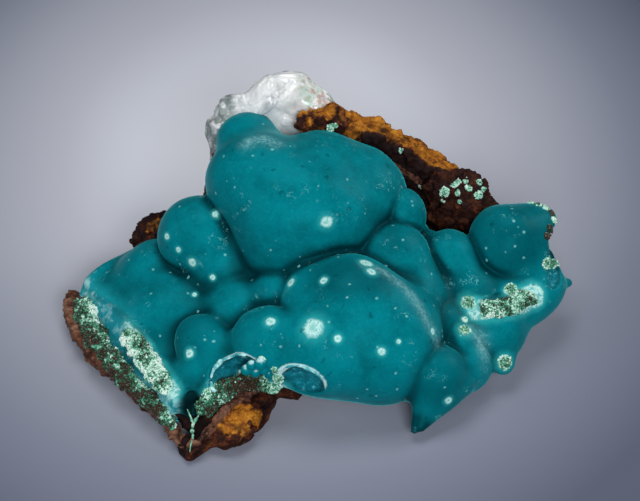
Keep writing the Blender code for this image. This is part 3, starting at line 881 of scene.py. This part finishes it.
def makeRock(name, part, rough, ochreAt, darkSpotsAndShadeAt=None):
    field = rockField(part)
    p = skinPoints(field, part, 16)
    lift = rockLift(p, rough) * np.clip((p[:, 2] - 0.3) / 1.2, 0, 1)
    p = p + normalsOf(field, p) * lift[:, None]
    p[:, 2] = np.maximum(p[:, 2], 0.0)
    # the low places of the relief are marked for painted shade
    marks = dict(ochre=ochreAt(p), deep=np.clip(0.5 - lift / rough * 0.8, 0, 1))
    if darkSpotsAndShadeAt:
        marks["dark"] = darkSpotsAndShadeAt(p)
    addPiece(name, p.astype(np.float32), (part["rows"], part["columns"]), earth, ["limonite_matrix"],
             marks)


crest = np.array([  # x and height of the ridge's crest
    (-4, 32.6), (1.5, 32.6), (4, 29.9), (9.4, 27.0), (15.6, 23.4), (21.8, 18.6), (28, 13.0)])


def crestMark(p):
    # 1 down to 1.7 mm below the ridge's crest and behind its lip, 0 from 2.9 mm down and in front
    high = np.clip((2.9 - (np.interp(p[:, 0], crest[:, 0], crest[:, 1]) - p[:, 2])) / 1.2, 0, 1)
    lip = np.interp(p[:, 0], [1.5, 6, 12, 18, 24], [25.0, 26.6, 26.6, 26.0, 24.6])
    return high * np.clip((p[:, 1] - lip) / 0.8 + 0.5, 0, 1)


earth = rockFinish()
makeRock("limonite_slab", slabRock, 0.7,
         lambda p: np.maximum(nearBall(p, (-13.6, -18.6, 3.2), (5.0, 5.4, 4.6)),
                              0.8 * nearBall(p, (-29.5, 20, 14.5), (4, 4, 2.5))),
         # painted shade in the notch at the tip
         lambda p: nearBall(p, (-21.4, -18.8, 3.2), (4.4, 8.0, 4.6)))
makeRock("limonite_foot", foot, 0.9,
         lambda p: 0.33 * nearBall(p, (-13.8, -19.6, 2.6), (4.6, 4.4, 4.8)),
         # painted shade, darker towards the notch at the tip
         lambda p: np.clip(((p[:, 1] + 24.2) * 0.68 - (p[:, 0] + 22.3) * 0.73) / 0.6 + 0.2, 0, 1))
makeRock("limonite_spur", spur, 1.2,
         lambda p: 0.4 * nearBall(p, (-29.6, 20.2, 13.5), 3.5),
         lambda p: np.clip(0.6 + 0.7 * waves(p, 1.6, 49), 0, 1))
makeRock("limonite_lumps", lumps, 1.1, lambda p: 0.5 + 0.5 * waves(p, 1.8, 50))
makeRock("limonite_ridge", ridge, 0.9,
         lambda p: 0.72 * crestMark(p),
         # painted shade on the ridge's front face below its crest
         lambda p: (1 - crestMark(p)) * np.clip((30.5 - p[:, 1]) / 1.5, 0, 1))
makeRock("limonite_knob", knob, 1.0,
         lambda p: np.zeros(len(p)),
         lambda p: np.clip(0.4 + 0.7 * layered(p, 2.4, 3, 47), 0, 0.9))


# Rinds: the thin broken ledges along the left edge and up from the tip

rinds = dict(
    left=dict(line=[(-43.9, 13.1, 4.1), (-44.1, 11.2, 4.0), (-43.5, 8.4, 3.9), (-42.1, 4.9, 3.8),
                    (-40.6, 1.4, 3.8), (-38.7, -1.9, 3.7), (-37.0, -4.5, 3.6), (-35.3, -6.2, 3.6),
                    (-32.7, -8.9, 3.5), (-30.1, -12.0, 3.3), (-27.4, -15.1, 3.1), (-24.9, -18.0, 2.8),
                    (-23.4, -20.7, 2.3), (-22.2, -23.1, 1.8)],
              wide=1.75, tall=1.2, rows=320, slim=0.45),
    right=dict(line=[(-22.2, -23.4, 1.8), (-20.0, -21.9, 3.0), (-17.8, -19.9, 4.0), (-15.6, -16.9, 4.7),
                     (-13.4, -14.5, 5.4), (-10.8, -13.2, 6.0)],
               wide=0.75, tall=0.9, rows=160),
    lip=dict(line=[(2.6, 27.0, 29.2), (5.0, 27.0, 27.2), (9.4, 27.0, 24.9), (12.5, 27.0, 23.1),
                   (15.6, 26.6, 21.3), (18.7, 26.0, 18.8)],
             wide=0.5, tall=0.45, rows=200, onto=ridge),  # onto: drawn onto that rock
)


def makeRind(name, rind):
    columns = 56
    line = rind["line"]
    if "onto" in rind:
        line = settled(rockField(rind["onto"]), along(line, np.linspace(0, 1, 60)).astype(np.float32), 8)
    points, out = carried(line, rind["wide"], rind["tall"], rind["rows"], columns, square=0.6,
                          slim=rind.get("slim", 1.0))
    lift = 0.75 * rockLift(points, 1.0)
    points = points + out * lift[:, None]
    points[:, 2] = np.maximum(points[:, 2], 0.0)
    # the low places of the relief are marked for painted shade
    marks = dict(rind=np.clip(0.8 + 0.6 * waves(points, 3.0, 77), 0, 1), deep=np.clip(0.5 - lift, 0, 1))
    addPiece("limonite_rind_" + name, points, (rind["rows"], columns), earth, ["limonite_matrix"],
             marks)


for name, rind in rinds.items():
    makeRind(name, rind)


# Calcite mass

calcite = dict(
    rows=180, columns=260,
    shell=dict(centre=(-7.5, 30.6, 28), outer=(24, 18, 22), core=(6, 0.6, 2), turn=(0, 0, -4)),
    lumps=[
        ((-7, 31.5, 31), (7.6, 5, 7.4), (0, 15, 8)),
        ((-14, 30, 28), (7, 5, 6.6), (0, -14, 14)),
        ((-1.4, 31, 29.6), (5.6, 4.8, 5.4), (0, 30, -6)),
        ((-12.4, 27.5, 24), (7.6, 5, 7), (10, 0, 0)),
    ],
)


def calciteField(p):
    d = np.full(len(p), 99.0, np.float32)
    for centre, radii, turn in calcite["lumps"]:
        d = smoothMin(d, ballDistance(p, centre, radii, turn), 1.2)
    return d


def calciteFinish():
    f = Finish("milky calcite", Specular_IOR_Level=0.6, Subsurface_Weight=0.5, Subsurface_Scale=0.002,
               Subsurface_Radius=(1.0, 1.0, 0.9), Coat_Roughness=0.1)
    mid, fine = f.noise(3.5, 4, 0.6, 0.5), f.noise(0.8, 4)
    across, back, high = f.axis(0), f.axis(1), f.axis(2)
    f.colour = f.ramp(mid, [(0.3, (0.42, 0.46, 0.48)), (0.46, (0.64, 0.67, 0.69)),
                            (0.64, (0.76, 0.78, 0.78))])
    left = (across + (mid - 0.5) * 8.0).step(-13.5, -16.5)  # grey, greenish and see-through at the left end
    f.paint(left * f.noise(2.0, 3).step(0.64, 0.5) * 0.85, (0.13, 0.18, 0.17))
    right = (across + (mid - 0.5) * 7.0).step(-4.0, -1.5)  # flesh and pale green at the right end
    f.paint(right * fine.step(0.4, 0.6) * 0.7, (0.4, 0.2, 0.13))
    f.paint(right * mid.step(0.48, 0.58) * 0.6, (0.35, 0.55, 0.46))
    # darker at the back and towards the bottom
    f.paint((back + (fine - 0.5) * 4.0).step(33.0, 35.0) * 0.8, (0.09, 0.07, 0.055))
    f.paint((high + (fine - 0.5) * 5.0).step(24.0, 20.0) * 0.7, (0.1, 0.1, 0.09))
    # painted shade in the low places between the chips
    f.paint(f.attribute("deep").step(0.1, 0.7) * 0.4, (0.2, 0.2, 0.19))
    return f.feed(Roughness=0.16 + fine * 0.2, Coat_Weight=mid * 0.3,
                  Normal=f.bump(fine * 0.6 + f.noise(0.25, 2) * 0.4, 0.15, 0.08))


def makeCalcite():
    p = skinPoints(calciteField, calcite, 12)
    normals = normalsOf(calciteField, p)
    spread = 0.5 * np.array([(1, 1, 1), (1, -1, -1), (-1, 1, -1), (-1, -1, 1)])
    planes = np.mean([chipped(p + s, 6.5, 1.8, 81) for s in spread], axis=0)
    lift = 0.75 * planes + 0.1 * chipped(p, 2.2, 1.8, 91) + 0.5 * layered(p, 6.0, 3, 95) - 0.7
    p = p + normals * lift[:, None]
    # the low places between the chips are marked for painted shade
    addPiece("calcite_crystals", p.astype(np.float32), (calcite["rows"], calcite["columns"]),
             calciteFinish(), ["calcite_mass"], dict(deep=np.clip(-0.8 - lift, 0, 1)))


makeCalcite()


# Druse: beds of fused grains with separate crystals on them

def grainFinish():
    f = Finish("green druse", Specular_IOR_Level=0.55)
    f.colour = f.ramp(f.attribute("tint"), [
        (0.0, (0.7, 0.86, 0.78)), (0.2, (0.36, 0.7, 0.55)), (0.36, (0.08, 0.36, 0.22)),
        (0.55, (0.014, 0.13, 0.07)), (0.75, (0.016, 0.032, 0.014)), (1.0, (0.035, 0.013, 0.005))])
    return f.feed(Roughness=0.22 + f.noise(0.5, 2) * 0.3)


def crystals(rng, centres, normals, sizes):
    # each is a prism of five sides with a point at its top and a blunt cap below
    sides = 5
    count = len(centres)
    axis = normals + rng.normal(0, 0.45, (count, 3))
    axis /= np.linalg.norm(axis, axis=1, keepdims=True)
    helper = np.cross(axis, rng.normal(0, 1, (count, 3)))
    helper /= np.linalg.norm(helper, axis=1, keepdims=True)
    other = np.cross(axis, helper)
    angle = np.arange(sides) * 2 * np.pi / sides
    ring = helper[:, None] * np.cos(angle)[:, None] + other[:, None] * np.sin(angle)[:, None]
    ring = ring * rng.uniform(0.75, 1.15, (count, sides, 1))
    wide = (sizes * rng.uniform(0.4, 0.62, count))[:, None, None]
    tall = (sizes * rng.uniform(0.7, 1.2, count))[:, None]
    low = centres[:, None] + ring * wide - axis[:, None] * tall[:, None] * 0.5
    high = centres[:, None] + ring * wide * 0.8 + axis[:, None] * tall[:, None] * 0.35
    tip = (centres + axis * tall * 0.75)[:, None]
    foot = (centres - axis * tall * 0.7)[:, None]
    points = np.concatenate([low, high, tip, foot], 1)
    base = np.arange(count) * (2 * sides + 2)
    faces = []
    for k in range(sides):
        n = (k + 1) % sides
        faces += [np.stack([base + k, base + n, base + sides + n, base + sides + k], 1),
                  np.stack([base + sides + k, base + sides + n, base + 2 * sides], 1),
                  np.stack([base + n, base + k, base + 2 * sides + 1], 1)]
    return points.reshape(-1, 3), faces


def druseSwell(p, seed):
    return 0.6 * layered(p, 1.8, 4, seed)


def druseTint(p, band, seed):
    # the band's tint, uneven, drawn to each patch's own by exp(-(gap / reach)^2)
    tint = band["tint"] + 0.42 * layered(p, 1.5, 4, seed + 5, 0.7)
    ragged = 0.6 * layered(p, 1.6, 3, seed + 8)
    for place, reach, own in band["patches"]:
        part = np.exp(-np.maximum(np.linalg.norm(p - place, axis=1) / reach + ragged, 0) ** 2)
        tint = tint * (1 - part) + own * part
    return tint


def addGrains(name, rng, places, normals, sizes, tint, spread, nodes):
    points, faces = crystals(rng, places, normals, sizes)
    tint = np.clip(tint + rng.normal(0, spread, len(places)), 0, 1)
    tint = np.repeat(tint, len(points) // len(places))
    addPiece(name, points, faces, sparkle, nodes, dict(tint=tint), smooth=False)


def makeDruse(name, band, seed):
    rng = np.random.default_rng(seed)
    columns = 60
    line, wide, tall, slim = band["line"], band["wide"], band["tall"], band.get("slim", 1.0)
    points, out = carried(line, wide, tall, band["rows"], columns, square=0.9, slim=slim)
    points = points + out * druseSwell(points, seed)[:, None]
    addPiece(name + "_bed", points, (band["rows"], columns), sparkle, [name],
             dict(tint=np.clip(druseTint(points, band, seed) + 0.35, 0.55, 1)))
    # crystals: strewn over the bed's upper sides
    count = band["count"]
    t, u = rng.uniform(0.01, 0.99, count), rng.uniform(-0.5, np.pi + 0.5, count)
    centre, side, up, body = profile(line, t, u, wide, tall, slim=slim)
    normals = side * (np.cos(u) / wide)[:, None] + up * (np.sin(u) / tall)[:, None]
    normals /= np.linalg.norm(normals, axis=1, keepdims=True)
    places = centre + body
    places += body / np.linalg.norm(body, axis=1, keepdims=True) * druseSwell(places, seed)[:, None]
    sizes = band["size"] * rng.uniform(0.45, 1.3, count)
    tint = druseTint(places, band, seed)
    tint += band.get("outer", 0) * (body @ leftWay) - band.get("lace", 0) * np.abs(np.cos(u)) ** 3
    addGrains(name + "_grains", rng, places, normals, sizes, tint, 0.2, [name])


sparkle = grainFinish()
for seed, (name, band) in enumerate(druseBands.items()):
    makeDruse(name, band, 100 + 10 * seed)


# Tufts: small heaps of grains on the crust and the rock

tufts = dict(  # place, radius, tint at the middle
    crust=[
        ((-13.9, -14.6, 10.3), 0.65, 0.15), ((-12.9, -14.4, 11.3), 0.65, 0.15),
        ((-11.7, -14.2, 12.0), 0.65, 0.15), ((-10.6, -14.2, 13.2), 0.65, 0.15),
        ((-9.6, -14.2, 14.1), 0.65, 0.15), ((25.3, 0.4, 13.3), 1.2, 0.5), ((24.4, -5.0, 12.1), 1.0, 0.4),
        ((24.5, -3.2, 12.7), 0.5, 0.1), ((31.7, -5.6, 4.8), 1.3, 0.5), ((40.2, 11.4, 12.2), 1.5, 0.5),
        ((39.9, 13.0, 10.8), 1.0, 0.5), ((32.8, 3.8, 13.2), 1.1, 0.45), ((36.8, 18.5, 20.1), 0.5, 0.5),
        ((38.2, 18.5, 19.7), 0.6, 0.8), ((39.6, 18.4, 19.1), 0.7, 0.2), ((40.7, 18.0, 18.2), 0.7, 0.9),
        ((41.1, 17.5, 17.1), 0.6, 0.15), ((40.4, 16.5, 16.1), 0.7, 0.9), ((39.9, 15.5, 15.1), 0.7, 0.95),
        ((-17.9, -15.9, 8.1), 1.1, 0.1), ((-16.2, -16.2, 7.5), 1.1, 0.15),
        ((-14.6, -15.2, 7.9), 1.0, 0.2), ((-12.6, -13.5, 8.6), 1.0, 0.2), ((-7.0, -14.7, 10.2), 1.0, 0.4),
        ((-7.4, -14.5, 12.0), 0.6, 0.5),
    ],
    knob=[
        ((21.9, 22.5, 19.3), 0.8, 0.25), ((24.4, 22.5, 19.0), 0.5, 0.2), ((27.8, 22.5, 18.6), 0.8, 0.3),
        ((27.7, 22.5, 21.1), 0.5, 0.3), ((24.2, 22.5, 21.6), 0.7, 0.25), ((25.6, 22.5, 21.8), 0.45, 0.35),
        ((23.6, 22.5, 20.8), 0.55, 0.3), ((26.2, 22.5, 20.2), 0.6, 0.35), ((21.8, 22.5, 17.4), 0.4, 0.35),
        ((24.8, 22.5, 17.2), 0.35, 0.4), ((28.8, 22.5, 19.8), 0.4, 0.45),
    ],
    ridge=[
        ((17.8, 22.5, 20.4), 0.5, 0.3), ((14.3, 27.3, 24.8), 0.35, 0.3),
    ],
    lumps=[
        ((1.8, 26.9, 30.2), 0.6, 0.3), ((2.6, 26.9, 30.7), 0.5, 0.35),
    ],
)


def makeTufts(carrier, field, rough, seed):
    # grains strewn in a ball where each spot strikes the carrier, then drawn onto it; pale at the rim
    rng = np.random.default_rng(seed)
    spots, radii, cores = zip(*tufts[carrier])
    counts = [int(150 * radius ** 1.6) + 14 for radius in radii]
    start, radius, core = (np.repeat(each, counts, axis=0) for each in (struck(field, spots), radii, cores))
    way = rng.normal(0, 1, start.shape)
    out = rng.uniform(0, 1, len(start)) ** 0.5
    spread = way / np.linalg.norm(way, axis=1, keepdims=True) * (out * radius)[:, None]
    places = settled(field, (start + spread).astype(np.float32), 3)
    normals = normalsOf(field, places)
    places = places + normals * (rockLift(places, rough) + 0.05)[:, None]
    sizes = 0.4 * rng.uniform(0.5, 1.3, len(places))
    rim = np.where(core > 0.8, core, 0.1)
    tint = core + (rim - core) * np.clip(out * 3 - 2, 0, 1)
    addGrains("druse_tufts_" + carrier, rng, places, normals, sizes, tint, 0.14, [])


makeTufts("crust", crustField, 0.0, 201)
makeTufts("knob", rockField(knob), 1.0, 202)
makeTufts("ridge", rockField(ridge), 0.9, 203)
makeTufts("lumps", rockField(lumps), 1.1, 204)


# Rims of the broken bowls: thin pale lips of crust, and the small buds between the bowls

rims = dict(
    left=dict(line=[(-17.8, -12.9, 8.2), (-17.4, -11.2, 8.6), (-16.6, -10.4, 9.6), (-15.1, -10.6, 11.4),
                    (-13.5, -11.9, 13.8), (-12.1, -12.4, 14.8)],
              wide=0.34, tall=0.28, bowl=0),
    lower=dict(line=[(-19.0, -13.2, 8.2), (-18.9, -14.7, 8.1), (-18.2, -16.1, 8.0), (-16.9, -16.5, 7.6)],
               wide=0.35, tall=0.28, bowl=0),
    right=dict(line=[(-7.5, -14.2, 13.1), (-6.8, -14.1, 14.3), (-5.5, -14.5, 15.5), (-3.8, -15.5, 15.8),
                     (-2.4, -16.4, 15.3), (-0.9, -16.9, 14.6), (0.1, -17.1, 13.5), (0.1, -17.3, 12.5)],
               wide=0.2, tall=0.2, bowl=1),
)
veins = dict(
    stem=[(-21.5, -23.4, 1.8), (-21.4, -22.0, 2.0), (-21.1, -20.6, 2.4), (-21.3, -19.1, 2.8),
          (-21.2, -17.9, 3.2), (-21.7, -17.1, 4.0), (-22.2, -16.2, 4.8)],
    arm=[(-21.2, -18.6, 3.0), (-20.7, -17.6, 3.4), (-20.2, -16.7, 3.8), (-19.9, -16.0, 4.6)],
)
rimGrid, veinGrid = (120, 20), (120, 16)
veinRadius, veinLift = 0.17, (0, -0.5, 0.45)
buds = dict(
    rows=120, columns=180,
    shell=dict(centre=(-10.4, -14.0, 11.9), outer=(6, 5, 5), core=(1.2, 0.1, 0.5), turn=(0, -40, 0)),
    balls=[((-9.8, -14.0, 13.0), 1.15), ((-11.3, -13.8, 12.5), 0.9), ((-9.3, -14.5, 12.0), 0.8),
           ((-12.2, -13.6, 11.2), 0.95), ((-10.7, -14.2, 11.2), 0.85), ((-8.6, -14.3, 10.9), 0.7)],
)


def rimFinish():
    f = Finish("pale broken rosasite", Specular_IOR_Level=0.3, Subsurface_Weight=0.1, Subsurface_Scale=0.001)
    f.colour = f.mix(f.noise(1.3, 3).step(0.4, 0.65), (0.03, 0.36, 0.4), (0.5, 0.82, 0.82))
    return f.feed(Roughness=0.35 + f.noise(0.4, 2) * 0.2)


def budField(p):
    d = np.full(len(p), 99.0, np.float32)
    for ball in buds["balls"]:
        d = smoothMin(d, ballDistance(p, *ball), 0.15)
    return d


def onRim(line, hollow):
    # the line's points drawn in turn onto the lobes and onto the hollow, which ends at their shared edge
    p = along(line, np.linspace(0, 1, 40)).astype(np.float32)
    for _ in range(12):
        p = settled(crustLobes, settled(lambda q: ballDistance(q, *hollow), p))
    return p


def groundField(p):
    # the nearest of the slab, its foot and the crust
    return np.min([rockField(slabRock)(p), rockField(foot)(p), crustField(p)], axis=0)


pale = rimFinish()
for name, rim in rims.items():
    line = onRim(rim["line"], crust["hollows"][rim["bowl"]])
    points, out = carried(line, rim["wide"], rim["tall"], *rimGrid, ends=3)
    points = points + out * (0.22 * layered(points, 1.2, 3, 301))[:, None]
    addPiece("rosasite_rim_" + name, points, rimGrid, pale, [])
for name, line in veins.items():
    points, out = carried(struck(groundField, line) + veinLift, veinRadius, veinRadius, *veinGrid, ends=3)
    points = points + out * (0.3 * layered(points, 0.7, 2, 311))[:, None]
    addPiece("druse_vein_" + name, points, veinGrid, sparkle, [],
             dict(tint=np.clip(0.32 + 0.3 * layered(points, 0.7, 2, 312), 0, 1)))
points = skinPoints(budField, buds, 12)
# the pale rim colour laid on the buds' upward-facing sides
tops = np.clip(normalsOf(budField, points)[:, 2] * 1.6 - 0.6, 0, 1)
addPiece("rosasite_buds", points, (buds["rows"], buds["columns"]), satin, [],
         dict(rim=0.7 * tops, druseGap=np.full(len(tops), 9.0)))


# Floor

def makeFloor():
    reach = 3.0  # metres
    f = Finish("pale paper", Roughness=0.55, Specular_IOR_Level=0.3)
    # painted pool of light: pale round a spot behind the specimen, darker away from it
    gap = f.vector("DISTANCE", f.vector("MULTIPLY", f.place, (1.0, 0.8, 1.0)), (-10.0, 48.0, 0.0), 1)
    f.colour = f.ramp(gap / 200.0, [
        (0.05, (0.74, 0.76, 0.83)), (0.13, (0.61, 0.64, 0.72)), (0.2, (0.45, 0.47, 0.54)),
        (0.28, (0.33, 0.35, 0.42)), (0.36, (0.19, 0.21, 0.28)), (0.45, (0.085, 0.1, 0.15)),
        (1.0, (0.06, 0.07, 0.1))])
    mesh = bpy.data.meshes.new("floor")
    corners = [(x * reach, y * reach, 0) for x, y in ((-1, -1), (1, -1), (1, 1), (-1, 1))]
    mesh.from_pydata(corners, [], [(0, 1, 2, 3)])
    mesh.materials.append(f.feed())
    floor = placed("floor", mesh)


makeFloor()
print("done")
